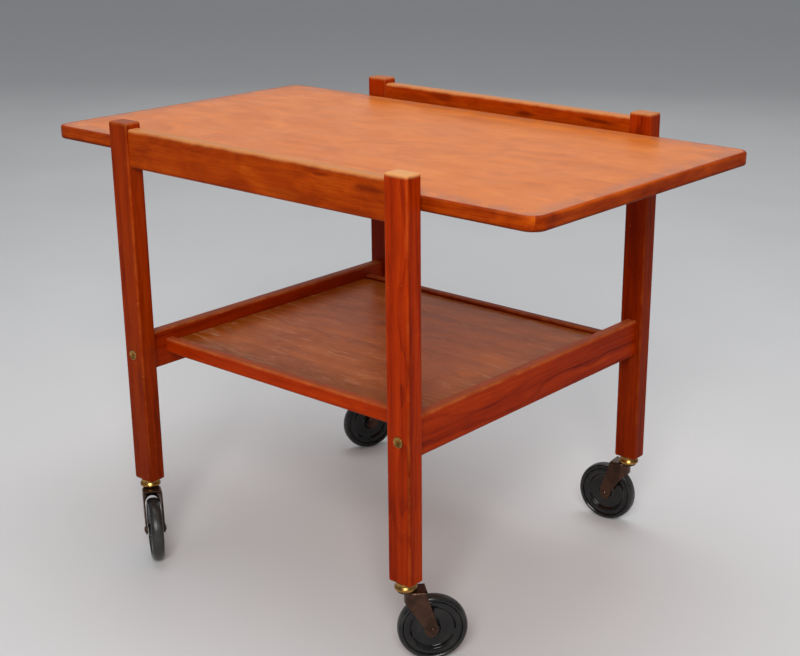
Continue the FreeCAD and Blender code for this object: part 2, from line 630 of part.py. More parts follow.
def make_fork(tag):
    """Pressed fork: a roof with a round seat, a rounded nose and two flat arms down to the axle."""
    fork = new_body(f"caster_fork_{tag}")
    nose, behind, low = "fork_half - fork_nose", "trail + 12", "wheel_radius - 12"
    middle, roof = f"(fork_top + {low}) / 2", "fork_top - fork_sheet"
    tall = f"fork_top - ({low})"
    block = (f"({behind} + {nose}) / 2", 0)
    pad(fork, rectangle(fork, "z", f"{behind} - ({nose})", "2 * fork_half", (*block, middle)), tall)
    pad(fork, circles(fork, "z", [(nose, 0)], "fork_half", (0, 0, middle)), tall)
    high, crosswise = level("z", size("fork_top")), along("y")
    fillet(fork, "fork_bend", lambda edge: high(edge) and not crosswise(edge))
    # hollow it from below, then trim nose and arms to the side profile
    inside = "fork_half - fork_sheet"
    pocket(fork, rectangle(fork, "z", f"{behind} - ({nose}) + 4", f"2 * ({inside})", (f"{block[0]} + 2", 0, roof)),
           tall)
    pocket(fork, circles(fork, "z", [(nose, 0)], inside, (0, 0, roof)), tall)
    profile = [
        ("fork_rear", "fork_top + 4"), ("fork_rear", "fork_top"), ("trail + 4.6", "wheel_radius + 6.8"),
        ("trail + 5.6", "wheel_radius + 3.2"), ("trail + 5.7", "wheel_radius - 0.4"),
        ("trail + 4.8", "wheel_radius - 3.6"), ("trail + 2.9", "wheel_radius - 6"),
        ("trail + 0.2", "wheel_radius - 7.2"), ("trail - 3.2", "wheel_radius - 7.3"),
        ("trail - 6.1", "wheel_radius - 6.1"), ("trail - 8.3", "wheel_radius - 4"),
        ("trail - 9.9", "wheel_radius - 1"), ("trail - 15.1", "wheel_radius + 10"),
        ("trail - 19.8", "wheel_radius + 19.3"), ("trail - 24.5", "wheel_radius + 26"),
        ("-fork_nose + 3", "wheel_radius + 31.5"), ("-fork_nose - 4", "wheel_radius + 34.5"),
        ("-fork_nose - 4", f"{low} - 4"), (f"{behind} + 4", f"{low} - 4"), (f"{behind} + 4", "fork_top + 4")]
    pocket(fork, outline(fork, "y", profile), "4 * fork_half", 0)
    revolve(fork, outline(fork, "y", [
        ("stem_radius", "fork_top"), ("crown_radius", "fork_top"), ("crown_radius", "fork_top - 1.6"),
        ("crown_radius - 2.6", "fork_top - crown_drop"), ("stem_radius", "fork_top - crown_drop")]))
    hole = circles(fork, "z", [(0, 0)], "stem_radius", (0, 0, "fork_top + 1"))
    pocket(fork, hole, "crown_drop + 1")
    pivot = circles(fork, "y", [("trail", "wheel_radius")], "axle_radius + running_gap")
    pocket(fork, pivot, "4 * fork_half", 0)
    return fork


def make_axle(tag):
    out = "fork_half + 1.8"
    face = "fork_half + 0.02"
    profile = [(0, f"-({out})"), ("axle_head - 1.6", f"-({out})"), ("axle_head", f"-({face})"),
               ("axle_radius", f"-({face})"), ("axle_radius", face), ("axle_head", face),
               ("axle_head - 1.6", out), (0, out)]
    axle = new_body(f"caster_axle_{tag}")
    revolve(axle, outline(axle, "z", profile, ("trail", 0, "wheel_radius")))
    return axle


def both_sides(face):
    """Whole section of a wheel part from the outline of one face."""
    return face + [(radius, f"-({height})") for radius, height in reversed(face)]


def make_wheel_parts(tag):
    """Dished disc, tyre and bush, turned about the axle."""
    centre = ("trail", 0, "wheel_radius")
    half = "tyre_width / 2"
    face = [
        ("bush_radius", "hub_half - 0.6"), ("hub_radius - 0.8", "hub_half - 0.6"),
        ("hub_radius", "hub_half - 1.4"), ("hub_radius + 1", "2.2"),
        ("disc_step - 4", "1.6"), ("disc_step - 1.2", "2"), ("disc_step + 1.6", "4.9"),
        ("disc_step + 3.6", "5.7"), ("disc_lip - 3", "6"), ("disc_lip - 1", "5.9"),
        ("disc_lip", "5.2"), ("tyre_inner", "5")]
    disc = turned(f"wheel_disc_{tag}", both_sides(face), "z", centre)
    face = [
        ("tyre_inner + 0.02", "4.9"), ("disc_lip + 0.1", "5.1"), ("disc_lip + 0.4", f"{half} - 1.6"),
        ("wheel_radius - 5", f"{half} - 0.4"), ("wheel_radius - 3.6", half),
        ("wheel_radius - 2.3", f"{half} - 0.8"), ("wheel_radius - 1.1", f"{half} - 2.4"),
        ("wheel_radius - 0.35", f"{half} - 4.6"), ("wheel_radius", f"{half} - 7")]
    tyre = turned(f"wheel_tyre_{tag}", both_sides(face), "z", centre)
    inner = "axle_radius + running_gap"
    bush = turned(f"wheel_bush_{tag}", [
        (inner, "-hub_half"), ("bush_radius - 0.02", "-hub_half"), ("bush_radius - 0.02", "hub_half"),
        (inner, "hub_half")], "z", centre)
    return [disc, tyre, bush]


def make_caster(tag, sx, sy):
    """All parts of one caster, drawn with the wheel trailing along +X and then swung into place."""
    members = make_mount_parts(tag) + make_swivel_parts(tag) + make_wheel_parts(tag)
    for item in members:
        place(item, f"{sx} * {LEG_X}", f"{sy} * {LEG_Y}", 0, f"swing_{tag}")


def write_parts():
    os.makedirs("parts", exist_ok=True)
    doc.recompute()
    for item in doc.Objects:
        if "Invalid" in item.State or "Error" in item.State:
            raise ValueError(f"{item.Label} did not compute: {item.State}")
    for item in parts:
        if item.Shape.isNull() or not item.Shape.isValid():
            raise ValueError(f"{item.Label} has no valid shape")
    for item in parts:
        item.Shape.exportStep(f"parts/{item.Label}.step")
        solids = len(item.Shape.Solids)
        box = item.Shape.BoundBox
        print(f"{item.Label:28s} solids {solids:3d} volume {item.Shape.Volume / 1000:9.2f} cm3 "
              f"x {box.XMin:7.1f} {box.XMax:7.1f} y {box.YMin:7.1f} {box.YMax:7.1f} "
              f"z {box.ZMin:6.1f} {box.ZMax:6.1f}")


for name, side, far in (("left_near", -1, False), ("right_near", 1, False),
                        ("right_far", 1, True), ("left_far", -1, True)):
    make_leg("leg_" + name, side, far)
make_side_rail("side_rail_near", False)
make_side_rail("side_rail_far", True)
make_cross_rail("cross_rail_left", -1)
make_cross_rail("cross_rail_right", 1)
make_shelf()
make_top()
make_cleat("bearer_near", False)
make_cleat("bearer_far", True)
make_fasteners()
make_bolts_and_nuts()
make_screws()
for name, sx, sy in (("left_near", -1, -1), ("right_near", 1, -1),
                     ("right_far", 1, 1), ("left_far", -1, 1)):
    make_caster(name, sx, sy)
write_parts()
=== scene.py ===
import json
import math
import random

import bmesh
import bpy
from mathutils import Matrix, Vector


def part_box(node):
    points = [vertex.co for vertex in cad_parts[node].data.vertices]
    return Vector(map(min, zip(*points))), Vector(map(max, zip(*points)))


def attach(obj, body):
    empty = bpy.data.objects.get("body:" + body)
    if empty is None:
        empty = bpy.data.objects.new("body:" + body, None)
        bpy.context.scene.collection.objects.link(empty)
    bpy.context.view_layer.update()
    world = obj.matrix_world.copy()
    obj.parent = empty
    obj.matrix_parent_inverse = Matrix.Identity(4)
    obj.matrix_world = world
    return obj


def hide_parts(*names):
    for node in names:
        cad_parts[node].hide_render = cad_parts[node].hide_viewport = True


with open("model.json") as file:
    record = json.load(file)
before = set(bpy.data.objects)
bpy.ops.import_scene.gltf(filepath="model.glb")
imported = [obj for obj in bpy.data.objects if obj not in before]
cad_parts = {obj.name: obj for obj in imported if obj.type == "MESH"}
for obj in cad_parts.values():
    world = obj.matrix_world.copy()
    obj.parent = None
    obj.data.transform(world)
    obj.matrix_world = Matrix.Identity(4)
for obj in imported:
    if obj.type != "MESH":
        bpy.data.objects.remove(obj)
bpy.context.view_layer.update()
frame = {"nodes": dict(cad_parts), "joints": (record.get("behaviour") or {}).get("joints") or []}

# Looks for the serving trolley: solid teak worked out in three dimensions for every board,
# finely shaped casters, bolts and screws, and a plain studio.
# Lengths are metres; MM turns sizes given in millimetres into metres. Inside the materials
# everything is measured in millimetres.

MM = 0.001
CASTERS = ("left_near", "right_near", "right_far", "left_far")
JOINTS = {joint["name"]: joint for joint in frame["joints"]}


# ---------------------------------------------------------------- material graphs

# sockets of the mix node for each kind of value: first input, second input, output
MIX_SOCKETS = {"VECTOR": (4, 5, 1), "RGBA": (6, 7, 2)}
SCALAR_RESULTS = ("LENGTH", "DISTANCE")


class Graph:
    """Short calls for the nodes of one material."""

    def __init__(self, name, **settings):
        self.material = bpy.data.materials.new(name)
        self.material.use_nodes = True
        self.tree = self.material.node_tree
        self.tree.nodes.clear()
        self.shader = self.node("ShaderNodeBsdfPrincipled")
        output = self.node("ShaderNodeOutputMaterial")
        self.tree.links.new(self.shader.outputs[0], output.inputs[0])
        for socket, value in settings.items():
            self.shader.inputs[socket.replace("_", " ")].default_value = value

    def node(self, kind, **settings):
        item = self.tree.nodes.new(kind)
        for key, value in settings.items():
            setattr(item, key, value)
        return item

    def put(self, socket, value):
        if isinstance(value, bpy.types.NodeSocket):
            self.tree.links.new(value, socket)
        else:
            socket.default_value = value

    def place(self):
        """Point on the surface in the row frame, in millimetres."""
        raw = self.node("ShaderNodeTexCoord").outputs["Object"]
        return self.vector("MULTIPLY", raw, (1 / MM, 1 / MM, 1 / MM))

    def math(self, operation, *values):
        item = self.node("ShaderNodeMath", operation=operation)
        for socket, value in zip(item.inputs, values):
            self.put(socket, value)
        return item.outputs[0]

    def total(self, start, *terms):
        """A start value plus each value times its share."""
        for value, share in terms:
            start = self.math("ADD", start, self.math("MULTIPLY", value, share))
        return start

    def vector(self, operation, *values):
        item = self.node("ShaderNodeVectorMath", operation=operation)
        for socket, value in zip(item.inputs, values):
            self.put(socket, value)
        return item.outputs["Value" if operation in SCALAR_RESULTS else "Vector"]

    def split(self, vector):
        item = self.node("ShaderNodeSeparateXYZ")
        self.put(item.inputs[0], vector)
        return list(item.outputs)

    def join(self, *parts):
        item = self.node("ShaderNodeCombineXYZ")
        for socket, value in zip(item.inputs, parts):
            self.put(socket, value)
        return item.outputs[0]

    def noise(self, place, scale=1.0, detail=2.0, roughness=0.5, distortion=0.0, colour=False):
        item = self.node("ShaderNodeTexNoise")
        self.put(item.inputs["Vector"], place)
        item.inputs["Scale"].default_value = scale
        item.inputs["Detail"].default_value = detail
        item.inputs["Roughness"].default_value = roughness
        item.inputs["Distortion"].default_value = distortion
        return item.outputs["Color" if colour else "Fac"]

    def band(self, value, low, high, start=0.0, end=1.0):
        """Value eased from low..high to start..end and held there outside it."""
        item = self.node("ShaderNodeMapRange", interpolation_type="SMOOTHSTEP")
        for socket, number in zip(item.inputs, (value, low, high, start, end)):
            self.put(socket, number)
        return item.outputs[0]

    def mix(self, factor, first, second, blend="MIX", kind="RGBA"):
        """Blend of two colours or, with kind VECTOR, of two vectors."""
        item = self.node("ShaderNodeMix", data_type=kind, blend_type=blend)
        first_input, second_input, output = MIX_SOCKETS[kind]
        self.put(item.inputs[0], factor)
        self.put(item.inputs[first_input], first)
        self.put(item.inputs[second_input], second)
        return item.outputs[output]

    def ramp(self, factor, stops):
        """Colour read off a row of (position, colour) stops."""
        item = self.node("ShaderNodeValToRGB")
        self.put(item.inputs[0], factor)
        points = item.color_ramp.elements
        while len(points) < len(stops):
            points.new(0.5)
        for point, (position, colour) in zip(points, stops):
            point.position = position
            point.color = colour
        return item.outputs[0]

    def bump(self, height, distance, strength):
        """Bump from a height; distance is in metres."""
        item = self.node("ShaderNodeBump")
        item.inputs["Strength"].default_value = strength
        item.inputs["Distance"].default_value = distance
        self.put(item.inputs["Height"], height)
        return item.outputs[0]

    def finish(self, **sockets):
        for socket, value in sockets.items():
            self.put(self.shader.inputs[socket.replace("_", " ")], value)
        return self.material


def rgb(red, green, blue):
    return (red, green, blue, 1.0)


# ---------------------------------------------------------------- wood

# each wood runs from its dark streaks to its pale figure
LEG_TONES = (rgb(0.110, 0.0045, 0.0002), rgb(0.31, 0.020, 0.0003),
             rgb(0.44, 0.034, 0.0005), rgb(0.58, 0.075, 0.003))
RAIL_TONES = (rgb(0.120, 0.0080, 0.0003), rgb(0.31, 0.031, 0.0004),
              rgb(0.43, 0.052, 0.0008), rgb(0.57, 0.105, 0.005))
TOP_TONES = (rgb(0.46, 0.095, 0.007), rgb(0.66, 0.160, 0.015),
             rgb(0.78, 0.210, 0.025), rgb(0.88, 0.30, 0.052))
LIPPING_TONES = (rgb(0.10, 0.008, 0.0003), rgb(0.30, 0.028, 0.0005),
                 rgb(0.47, 0.060, 0.001), rgb(0.62, 0.12, 0.006))
SHELF_TONES = (rgb(0.22, 0.044, 0.001), rgb(0.40, 0.092, 0.003),
               rgb(0.55, 0.140, 0.007), rgb(0.66, 0.21, 0.020))
TONE_STOPS = (0.10, 0.38, 0.60, 0.88)
WORN_TONE = rgb(0.70, 0.17, 0.025)
# pale tone of the painted highlight on upper edges
PAINTED_HIGHLIGHT_TONE = rgb(0.86, 0.42, 0.150)
SCUFF_TONE = rgb(0.68, 0.40, 0.25)
LACQUER_IOR = 1.48

# axes of the part in the order along the grain, across it, through it
AXIS_ORDER = {"X": (0, 1, 2), "Y": (1, 0, 2), "Z": (2, 0, 1), "mitred": (0, 1, 2)}
# pairs of axes whose faces meet at a worn edge: rails show only their long edges, legs also their ends
WORN_EDGES = {"X": ((1, 2),), "Y": ((0, 2),), "Z": ((0, 1), (1, 2), (0, 2)), "mitred": ()}
NO_EDGE = 1000.0

# patterns that run with the grain: how fast each changes per millimetre along the grain and across
# it, and the settings of its noise
DRIFT = ((0.0035, 0.016), dict(detail=2, colour=True))
WAVES = ((0.018, 0.07), dict(detail=2, colour=True))
BROAD = ((0.0028, 0.10), dict(detail=3, roughness=0.62))
FINE = ((0.03, 1.3), dict(detail=3, roughness=0.6))
MOTTLE = ((0.016, 0.030), dict(detail=3, roughness=0.55, distortion=0.9))
PORES = ((0.09, 2.4), dict(detail=1))
SCUFFS = ((0.02, 0.10), dict(detail=5, roughness=0.72, distortion=1.2))
# the same for patterns that change evenly in every direction
RAGGED = (0.045, dict(detail=4, roughness=0.65))
SMEARS = (0.02, dict(detail=3, roughness=0.6))
FLECKS = (0.22, dict(detail=2))

# where each pattern starts to show and where it shows in full
PORE_BAND = (0.60, 0.70)
FLECK_BAND = (0.735, 0.77)
SCUFF_BAND = (0.48, 0.72)
RIM_BAND = (0.3, 0.6)
# wear comes and goes along an edge: from and to in the ragged pattern, least and most wear
PATCHY_BAND = (0.36, 0.66, 0.12, 1.0)
# late wood builds up over a year's ring, then stops
LATE_RISE = (0.35, 0.93)
LATE_STOP = (0.95, 1.0)

# growth rings: how far a board is shifted in its pattern, where the pith may lie beside it (across
# and through the grain), how slowly rings change lengthwise, and how far they drift and wave
BOARD_SHIFT = 900
PITH_ACROSS = 60
PITH_DEPTHS = (90, 160)
RING_LENGTHWISE = 0.012
DRIFT_REACH = 60
WAVE_REACH = 7
RING_SEED_STEP = 7

# ragged fringes in millimetres: how far they wander, where they are full, where they end
WORN_FRINGE = (1.6, -0.2, 2.6)
# the next three fringes bound painted light: a highlight on upper edges, a shadow along lower edges and a
# shadow along a panel's edges
PAINTED_HIGHLIGHT_FRINGE = (4.0, -2.2, 2.4)
PAINTED_LOWER_SHADE_FRINGE = (2.0, -0.2, 3.6)
PAINTED_BORDER_SHADE_FRINGE = (36.0, -16.0, 44.0)
RIM_FADE = (5.0, 30.0)

PORE_STRENGTH = 0.28
RIM_STRENGTH = 0.7
# how dark the painted shadow along a panel's edges gets
PAINTED_BORDER_SHADE_STRENGTH = 0.62
FLECK_STRENGTH = 0.35
SMUDGE_WAVE = 1.6
SMUDGE_CORE = 0.25
GRAIN_RELIEF = 0.12 * MM


def toned(tones, red, green=None):
    """The same wood darker or brighter, with its red and green scaled."""
    green = red if green is None else green
    return tuple(rgb(r * red, g * green, b * green) for r, g, b, _ in tones)


class Teak(Graph):
    """Solid teak for one board, laid down layer by layer; every length is in millimetres."""

    def __init__(self, node, grain, tones, seed, sheen):
        super().__init__("teak_" + node, Specular_IOR_Level=sheen, IOR=LACQUER_IOR)
        low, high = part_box(node)
        self.low, self.high = low / MM, high / MM
        self.middle = (low + high) / 2 / MM
        self.half = (high - low) / 2 / MM
        self.grain = grain
        self.tones = tones
        self.seed = seed
        shift = random.Random(seed)
        self.offset = tuple(shift.uniform(-BOARD_SHIFT, BOARD_SHIFT) for _ in range(3))
        self.point = self.place()
        self.lengthwise = self.along_grain()
        self.away = self.vector("ABSOLUTE", self.vector("SUBTRACT", self.point, tuple(self.middle)))
        self.gaps = self.split(self.vector("SUBTRACT", tuple(self.half), self.away))
        self.waves = self.wander(WAVES)
        self.ragged = self.even(RAGGED)

    def along_grain(self):
        """Places with the grain along the first axis, shifted so that no two boards match."""
        parts = self.split(self.point)
        turned = self.join(*[parts[axis] for axis in AXIS_ORDER[self.grain]])
        if self.grain == "mitred":
            beyond = self.vector("SUBTRACT", tuple(self.high), self.vector("ABSOLUTE", self.point))
            dx, dy, _ = self.split(beyond)
            swapped = self.join(parts[1], parts[0], parts[2])
            turned = self.mix(self.math("LESS_THAN", dx, dy), turned, swapped, kind="VECTOR")
        return self.vector("ADD", turned, self.offset)

    def grained(self, pattern, breadth=1.0):
        """Noise of a pattern that runs with the grain, drawn broader or narrower."""
        rate, settings = pattern
        along, across = (value / breadth for value in rate)
        return self.noise(self.vector("MULTIPLY", self.lengthwise, (along, across, across)), **settings)

    def even(self, pattern):
        """Noise of a pattern that is the same in every direction."""
        rate, settings = pattern
        return self.noise(self.vector("MULTIPLY", self.point, (rate, rate, rate)), **settings)

    def wander(self, pattern):
        """Three slow noises about zero."""
        return self.vector("SUBTRACT", self.grained(pattern), (0.5, 0.5, 0.5))

    def fringe(self, distance, spread, full, end):
        """1 up to a distance, falling to 0 at another along a ragged line."""
        uneven = self.math("SUBTRACT", distance, self.math("MULTIPLY", self.ragged, spread))
        return self.band(uneven, full, end, 1.0, 0.0)

    def tint(self, mask, strength, tone):
        """Bring a tone into the colour where the mask is high."""
        self.colour = self.mix(self.math("MULTIPLY", mask, strength), self.colour, tone)

    def grow_rings(self, spacing):
        """Late wood darkens the end of each year's ring round a pith beside the board."""
        draw = random.Random(self.seed + RING_SEED_STEP)
        pith = (0, draw.uniform(-PITH_ACROSS, PITH_ACROSS), draw.choice((-1, 1)) * draw.uniform(*PITH_DEPTHS))
        order = AXIS_ORDER[self.grain]
        centre = tuple(self.middle[order[i]] + self.offset[i] + pith[i] for i in range(3))
        bent = self.lengthwise
        for noise, reach in ((self.wander(DRIFT), DRIFT_REACH), (self.waves, WAVE_REACH)):
            bent = self.vector("ADD", bent, self.vector("MULTIPLY", noise, (0, reach, reach)))
        from_pith = self.vector("SUBTRACT", bent, centre)
        radius = self.vector("LENGTH", self.vector("MULTIPLY", from_pith, (RING_LENGTHWISE, 1, 1)))
        ring = self.math("DIVIDE", radius, spacing)
        year = self.math("FRACT", ring)
        late = self.math("MULTIPLY", self.band(year, *LATE_RISE), self.band(year, *LATE_STOP, 1.0, 0.0))
        each = self.node("ShaderNodeTexWhiteNoise", noise_dimensions="1D")
        self.put(each.inputs["W"], self.math("FLOOR", ring))
        self.late = self.math("MULTIPLY", late, each.outputs["Value"])

    def lay_figure(self, streak, fibre, figure, rings, breadth):
        """Colour of sound wood from broad streaks, fine fibre, mottled figure, rings and pores."""
        self.fine = self.grained(FINE)
        self.pores = self.band(self.grained(PORES), *PORE_BAND)
        tone = 0.5
        for value, share in ((self.grained(BROAD, breadth), streak), (self.fine, fibre),
                             (self.grained(MOTTLE), figure)):
            tone = self.total(tone, (self.math("SUBTRACT", value, 0.5), share * 2))
        tone = self.total(tone, (self.late, -rings))
        self.colour = self.ramp(tone, list(zip(TONE_STOPS, self.tones)))
        self.tint(self.pores, PORE_STRENGTH, self.tones[0])

    def edge_distance(self, corner):
        """Distance from the nearest edge that gets worn, and from the board's end or its rim."""
        if corner:
            inner = (self.half.x - corner, self.half.y - corner, 0)
            past_x, past_y, up = self.split(self.vector("SUBTRACT", self.away, inner))
            past = self.vector("MAXIMUM", self.join(past_x, past_y, 0.0), (0, 0, 0))
            inside = self.math("MINIMUM", self.math("MAXIMUM", past_x, past_y), 0.0)
            rim = self.math("SUBTRACT", corner, self.math("ADD", self.vector("LENGTH", past), inside))
            return self.math("MAXIMUM", rim, self.math("SUBTRACT", self.half.z, up)), rim
        nearest = NO_EDGE
        for first, second in WORN_EDGES[self.grain]:
            edge = self.math("MAXIMUM", self.gaps[first], self.gaps[second])
            nearest = self.math("MINIMUM", edge, nearest)
        return nearest, self.gaps[0]

    def wear_edges(self, corner, wear, rim):
        """Rub the edges pale in places and, where a rim tone is given, blend the board into that tone towards
        its rim.
        """
        edge, side = self.edge_distance(corner)
        patchy = self.band(self.ragged, *PATCHY_BAND)
        self.worn = self.math("MULTIPLY", self.fringe(edge, *WORN_FRINGE), patchy)
        self.tint(self.worn, wear, WORN_TONE)
        if rim:
            near_rim = self.band(side, *RIM_FADE, 1.0, 0.0)
            faded = self.math("MULTIPLY", near_rim, self.band(self.ragged, *RIM_BAND))
            self.tint(faded, RIM_STRENGTH, rim)

    def paint_light_by_height(self, crest, painted_lower_shade, shade):
        """Painted light by height: a highlight on the upper edges, a shadow along the lower ones and a shadow
        over everything below a height.
        """
        level = self.split(self.point)[2]
        # painted highlight on the upper edges
        if crest:
            depth = self.math("SUBTRACT", self.high.z, level)
            self.tint(self.fringe(depth, *PAINTED_HIGHLIGHT_FRINGE), crest, PAINTED_HIGHLIGHT_TONE)
        # painted shadow along the lower edges
        if painted_lower_shade:
            rise = self.math("SUBTRACT", level, self.low.z)
            self.tint(self.fringe(rise, *PAINTED_LOWER_SHADE_FRINGE), painted_lower_shade, self.tones[0])
        # painted shadow over everything below a height
        if shade:
            start, stop, factor = shade
            grey = self.band(level, start, stop, factor, 1.0)
            self.colour = self.mix(1.0, self.colour, self.join(grey, grey, grey), "MULTIPLY")

    def smudge(self, x, z, reach, rise, strength):
        """A soft dark patch of figure on the side of a rail."""
        away = self.vector("SUBTRACT", self.point, (x, 0, z))
        away = self.vector("MULTIPLY", away, (1 / reach, 0, 1 / rise))
        bend = self.vector("MULTIPLY", self.waves, (SMUDGE_WAVE, 0, SMUDGE_WAVE))
        away = self.vector("LENGTH", self.vector("ADD", away, bend))
        self.colour = self.mix(self.band(away, SMUDGE_CORE, 1.0, strength, 0.0), self.colour, self.tones[0])

    def paint_border_shade(self, painted_border_shade):
        """Paint a shadow along a panel's four edges in a darker tone."""
        nearest = self.math("MINIMUM", self.gaps[0], self.gaps[1])
        self.tint(self.fringe(nearest, *PAINTED_BORDER_SHADE_FRINGE), PAINTED_BORDER_SHADE_STRENGTH, painted_border_shade)

    def lacquer(self, roughness, scuffs):
        """Finish with pale flecks, grain that shows through the lacquer, smears and dry scuff marks."""
        self.tint(self.band(self.even(FLECKS), *FLECK_BAND), FLECK_STRENGTH, WORN_TONE)
        height = self.total(0.0, (self.fine, 0.35), (self.late, 0.25), (self.pores, -0.8))
        smears = self.even(SMEARS)
        rough = self.total(roughness - 0.10, (smears, 0.16), (self.fine, 0.06), (self.worn, 0.20))
        if scuffs:
            marks = self.band(self.grained(SCUFFS), *SCUFF_BAND)
            self.tint(marks, scuffs, SCUFF_TONE)
            rough = self.total(rough, (marks, 0.25))
        return self.finish(Base_Color=self.colour, Roughness=rough,
                           Normal=self.bump(height, GRAIN_RELIEF, 0.6))


def wood(node, grain, tones, seed, spacing=7.0, streak=0.40, figure=0.30, rings=0.14, fibre=0.24,
         wear=0.5, corner=0.0, roughness=0.36, scuffs=0.0, sheen=0.045, rim=None, crest=0.0, painted_lower_shade=0.0,
         shade=None, smudges=(), breadth=1.0, painted_border_shade=None):
    """Teak for one board, with the settings that follow.

    grain names the axis the grain runs along; spacing is the width of a year's ring; streak, figure,
    rings and fibre say how strongly each pattern shows and breadth how wide the streaks are; corner
    is the radius of a board's corners in plan. crest paints a highlight on the upper edges, foot paints
    a shadow along the lower ones and shade (height, height, factor) paints a shadow over everything
    below a height; smudges are soft dark patches; rim is the tone a board takes towards its rim;
    border is the darker tone of a painted shadow along a panel's four edges.
    """
    teak = Teak(node, grain, tones, seed, sheen)
    teak.grow_rings(spacing)
    teak.lay_figure(streak, fibre, figure, rings, breadth)
    teak.wear_edges(corner, wear, rim)
    teak.paint_light_by_height(crest, painted_lower_shade, shade)
    for smudge in smudges:
        teak.smudge(*smudge)
    if painted_border_shade:
        teak.paint_border_shade(painted_border_shade)
    return teak.lacquer(roughness, scuffs)


# ---------------------------------------------------------------- metal, plastic and rubber

# where tarnish, rubbed spots, dust and grit start to show and where they show in full
TARNISH_BAND = (0.40, 0.68)
RUBBED_BAND = (0.60, 0.74)
DUST_BAND = (0.42, 0.75)
GRIT_BAND = (0.35, 0.65)
SCRATCH_RATES = (0.5, 0.5, 6.0)
TREAD_DEPTH = 1.6
METAL_RELIEF = 0.04 * MM
MOULDED_RELIEF = 0.03 * MM


def aged_metal(name, bright, dull, roughness, metallic=1.0, wear=None, scale=0.12):
    """Metal with tarnish in patches, fine scratches and uneven polish."""
    g = Graph(name, Metallic=metallic)
    place = g.place()
    patches = g.noise(place, scale, detail=5, roughness=0.65)
    fine = g.noise(place, 2.2, detail=4, roughness=0.7)
    scratches = g.noise(g.vector("MULTIPLY", place, SCRATCH_RATES), detail=3, roughness=0.7)
    colour = g.mix(g.band(patches, *TARNISH_BAND), bright, dull)
    if wear:
        colour = g.mix(g.band(fine, *RUBBED_BAND), colour, wear)
    rough = g.total(roughness - 0.06, (patches, 0.18), (scratches, 0.10))
    height = g.total(0.0, (scratches, 0.4), (fine, 0.6))
    return g.finish(Base_Color=colour, Roughness=rough, Normal=g.bump(height, METAL_RELIEF, 0.5))


def moulded(name, deep, dusty, roughness, centre, tread=None, shine=0.5):
    """Moulded black plastic or rubber with dust, faint turning lines and, on a tyre, a scuffed tread."""
    g = Graph(name, Specular_IOR_Level=shine)
    place = g.place()
    cloud = g.noise(place, 0.06, detail=5, roughness=0.65)
    grit = g.noise(place, 1.6, detail=3, roughness=0.7)
    away = g.vector("DISTANCE", place, tuple(Vector(centre) / MM))
    lines = g.noise(g.join(away, 0.0, 0.0), 2.4, detail=2)
    dust = g.math("MULTIPLY", g.band(cloud, *DUST_BAND), 0.5)
    if tread:
        scuffed = g.band(away, tread - TREAD_DEPTH, tread)
        dust = g.total(dust, (scuffed, g.band(grit, *GRIT_BAND)))
    colour = g.mix(dust, deep, dusty)
    rough = g.total(roughness, (dust, 0.22), (grit, 0.05))
    height = g.total(0.0, (grit, 0.4), (lines, 0.6))
    return g.finish(Base_Color=colour, Roughness=rough, Normal=g.bump(height, MOULDED_RELIEF, 0.4))


BRASS = aged_metal("brass", rgb(0.50, 0.27, 0.075), rgb(0.22, 0.11, 0.032), 0.20,
                   wear=rgb(0.10, 0.055, 0.02))
BRONZE = aged_metal("bronzed_steel", rgb(0.086, 0.042, 0.027), rgb(0.046, 0.023, 0.016), 0.20,
                    metallic=0.85, wear=rgb(0.16, 0.09, 0.05), scale=0.05)
ZINC = aged_metal("zinc_plate", rgb(0.60, 0.60, 0.58), rgb(0.30, 0.29, 0.26), 0.36)
BALL_STEEL = aged_metal("ball_steel", rgb(0.78, 0.78, 0.80), rgb(0.52, 0.50, 0.47), 0.12)
NYLON = moulded("nylon", rgb(0.66, 0.62, 0.52), rgb(0.34, 0.30, 0.24), 0.45, (0, 0, 0))
PLASTIC_TONES = (rgb(0.004, 0.0035, 0.0035), rgb(0.026, 0.023, 0.019))
RUBBER_TONES = (rgb(0.007, 0.0065, 0.007), rgb(0.040, 0.037, 0.033))


# ---------------------------------------------------------------- materials of the CAD nodes

# red and green of each leg against the common tone, which paint shading on it, how strongly its top
# gets a painted highlight, and the painted shadow over its lower part
LEG_PAINTED_SHADING = {
    "left_near": (0.80, 0.98, 0.10, (100, 420, 0.72)),
    "right_near": (1.0, 0.95, 0.85, (100, 400, 0.82)),
    "right_far": (0.92, 1.0, 0.45, (490, 545, 0.66)),
    "left_far": (0.92, 1.0, 0.30, (490, 545, 0.62)),
}
LEG_WOOD = dict(streak=0.42, figure=0.12, rings=0.16, wear=0.22)
# dark figure in the side rails: x, z, half length, half height, strength
NEAR_FIGURE = ((178, 538, 26, 6, 0.6), (112, 545, 16, 3, 0.5), (90, 517, 70, 9, 0.35))
FAR_FIGURE = ((42, 538, 18, 8, 0.75), (155, 543, 38, 4, 0.8), (-95, 545, 42, 7, 0.6))
# seed, node, tone against the common one (partly the board's own, partly painted shading) and, for
# the side rails, dark figure
SIDE_RAILS = ((21, "side_rail_near", 1.0, NEAR_FIGURE), (22, "side_rail_far", 1.1, FAR_FIGURE))
# rails and lips get a painted highlight on their upper edges and a painted shadow along their lower edges
RAIL_WOOD = dict(spacing=9, streak=0.18, figure=0.40, rings=0.09, wear=0.20, crest=0.50, painted_lower_shade=0.35)
